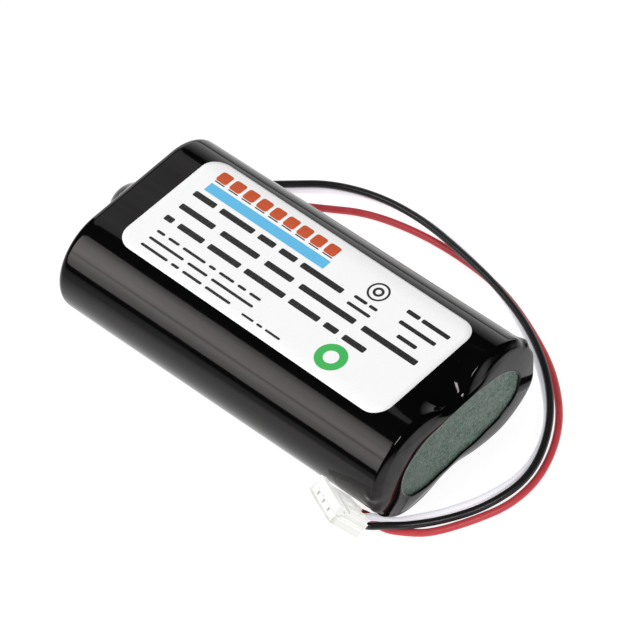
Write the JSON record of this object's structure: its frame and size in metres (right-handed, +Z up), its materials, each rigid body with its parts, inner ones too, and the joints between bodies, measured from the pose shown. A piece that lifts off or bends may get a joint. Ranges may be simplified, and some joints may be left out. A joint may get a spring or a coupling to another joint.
{
  "type": "battery pack",
  "caption": "Lithium-ion pack of cylindrical cells side by side in black shrink film, with a printed label on top and a short wire lead that ends in a small white plug.",
  "frame": {"origin": "centre of the pack's flat underside, between the two cells; the wires and the plug are left out of it", "axes": "+X along the cells, towards the end with the series link and the open view of the green paper; +Y across the pack, away from the plug; +Z up through the label"},
  "size_m": [0.0846, 0.0609, 0.0192],
  "materials": {
    "film": "glossy heat-shrink film",
    "label_paper": "satin printed label",
    "fish_paper": "mottled green insulating paper",
    "nickel": "dull nickel strip",
    "glue": "milky set glue",
    "board": "green solder mask",
    "chip_black": "moulded epoxy",
    "chip_ceramic": "sintered ceramic",
    "solder": "bright solder",
    "wire_black": "soft PVC insulation",
    "wire_white": "soft PVC insulation",
    "wire_red": "soft PVC insulation",
    "plug_nylon": "moulded nylon, natural white",
    "contact": "tinned phosphor bronze",
    "steel": "nickel-plated steel",
    "jacket": "cell wrap",
    "washer_paper": "pressed insulating board",
    "electrode": "wound electrode foil",
    "gasket": "polypropylene",
    "vent_aluminium": "thin pressed sheet"
  },
  "bodies": {
    "root": {"shrink_sleeve": "film", "label": "label_paper", "end_paper": "fish_paper", "board_cover": "fish_paper", "board_insulator": "fish_paper", "series_link": "nickel", "centre_tap": "nickel", "negative_tab": "nickel", "positive_tab": "nickel", "cell_adhesive": "glue", "circuit_board": "board", "protection_ic": "chip_black", "mosfets": "chip_black", "chip_parts": "chip_ceramic", "thermistor": "chip_ceramic", "solder_joints": "solder", "wire_black": "wire_black", "wire_white": "wire_white", "wire_red": "wire_red", "plug_housing": "plug_nylon", "terminal_black": "contact", "terminal_white": "contact", "terminal_red": "contact", "conductor_ends": "solder", "cell_a_can": "steel", "cell_a_jacket": "jacket", "cell_a_washer": "washer_paper", "cell_a_electrode_roll": "electrode", "cell_a_gasket": "gasket", "cell_a_vent_disc": "vent_aluminium", "cell_a_positive_cap": "steel", "cell_a_insulating_discs": "washer_paper", "cell_b_can": "steel", "cell_b_jacket": "jacket", "cell_b_washer": "washer_paper", "cell_b_electrode_roll": "electrode", "cell_b_gasket": "gasket", "cell_b_vent_disc": "vent_aluminium", "cell_b_positive_cap": "steel", "cell_b_insulating_discs": "washer_paper"}
  },
  "joints": []
}
